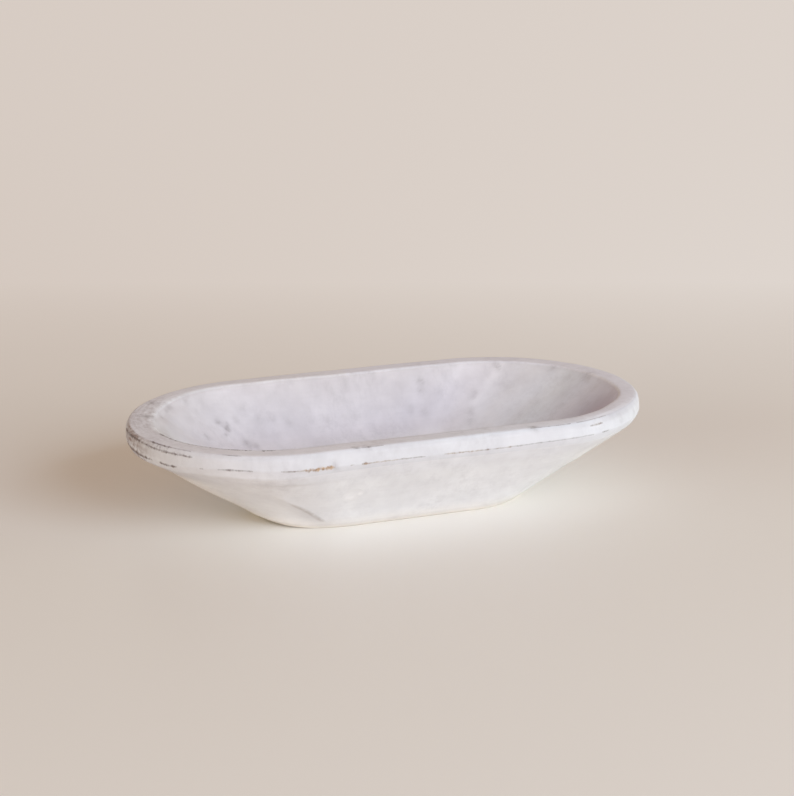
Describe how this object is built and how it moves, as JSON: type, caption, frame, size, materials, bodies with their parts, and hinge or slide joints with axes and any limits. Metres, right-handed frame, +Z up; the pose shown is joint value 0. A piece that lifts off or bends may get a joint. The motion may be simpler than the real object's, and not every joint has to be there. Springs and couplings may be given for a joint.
{
  "type": "oval dough bowl",
  "caption": "Shallow oval dough bowl carved from wood, with straight sides, round ends, a flat foot, a banded rim and worn white paint.",
  "frame": {"origin": "middle of the flat foot, where the bowl stands", "axes": "+X along the bowl's length, +Y across it to the side without the knot plug, +Z up"},
  "size_m": [0.25, 0.134, 0.0455],
  "materials": {
    "painted_wood": "matt white chalk paint, rubbed through to the wood on the edges",
    "painted_plug": "matt white chalk paint"
  },
  "bodies": {
    "root": {"bowl_body": "painted_wood", "knot_plug": "painted_plug"}
  },
  "joints": []
}
